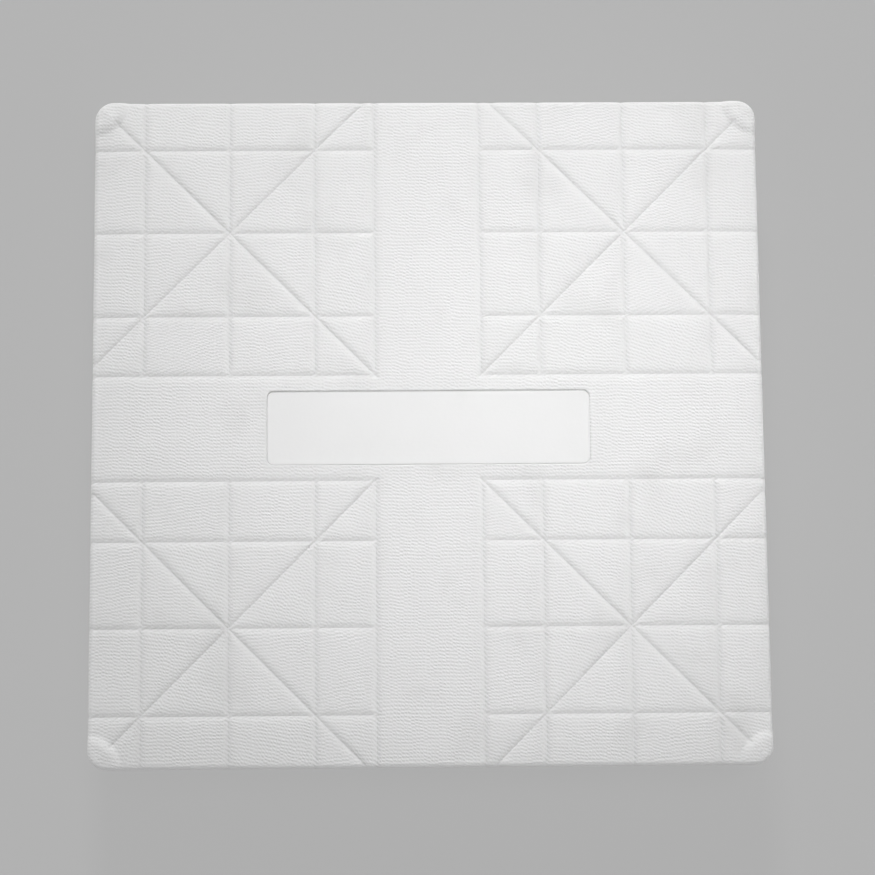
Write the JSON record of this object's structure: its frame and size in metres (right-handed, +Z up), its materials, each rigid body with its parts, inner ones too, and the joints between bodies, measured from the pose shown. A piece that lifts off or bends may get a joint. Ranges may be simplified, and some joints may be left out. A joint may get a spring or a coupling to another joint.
{
  "type": "baseball base",
  "caption": "Square white rubber baseball base with a grooved tread top and a bare centre panel, on a steel frame whose square stem drops into a ground sleeve.",
  "frame": {"origin": "middle of the base's underside at ground level, on the axis of the stem and the ground sleeve", "axes": "+Z up out of the ground, +X along the length of the centre panel, -Y towards the front"},
  "size_m": [0.381, 0.381, 0.2773],
  "materials": {
    "moulded_rubber": "matte",
    "panel_vinyl": "satin",
    "core_foam": "matte",
    "galvanised_steel": "satin",
    "zinc_screw": "satin"
  },
  "bodies": {
    "ground_anchor": {"anchor_sleeve": "galvanised_steel", "anchor_wing_front": "galvanised_steel", "anchor_wing_right": "galvanised_steel", "anchor_wing_back": "galvanised_steel", "anchor_wing_left": "galvanised_steel"},
    "base": {"cover": "moulded_rubber", "centre_panel": "panel_vinyl", "foam_core": "core_foam", "base_plate": "galvanised_steel", "front_rail": "galvanised_steel", "right_rail": "galvanised_steel", "back_rail": "galvanised_steel", "left_rail": "galvanised_steel", "plate_screw_1": "zinc_screw", "plate_screw_2": "zinc_screw", "plate_screw_3": "zinc_screw", "plate_screw_4": "zinc_screw", "plate_screw_5": "zinc_screw", "plate_screw_6": "zinc_screw", "plate_screw_7": "zinc_screw", "plate_screw_8": "zinc_screw", "plate_screw_9": "zinc_screw", "plate_screw_10": "zinc_screw", "plate_screw_11": "zinc_screw", "plate_screw_12": "zinc_screw", "stem": "galvanised_steel", "stem_cap": "galvanised_steel", "front_gusset": "galvanised_steel", "right_gusset": "galvanised_steel", "back_gusset": "galvanised_steel", "left_gusset": "galvanised_steel"}
  },
  "joints": [
    {"name": "lift_out", "type": "slide", "parent": "ground_anchor", "child": "base", "axis": [0, 0, 1], "range_m": [0, 0.15]}
  ]
}
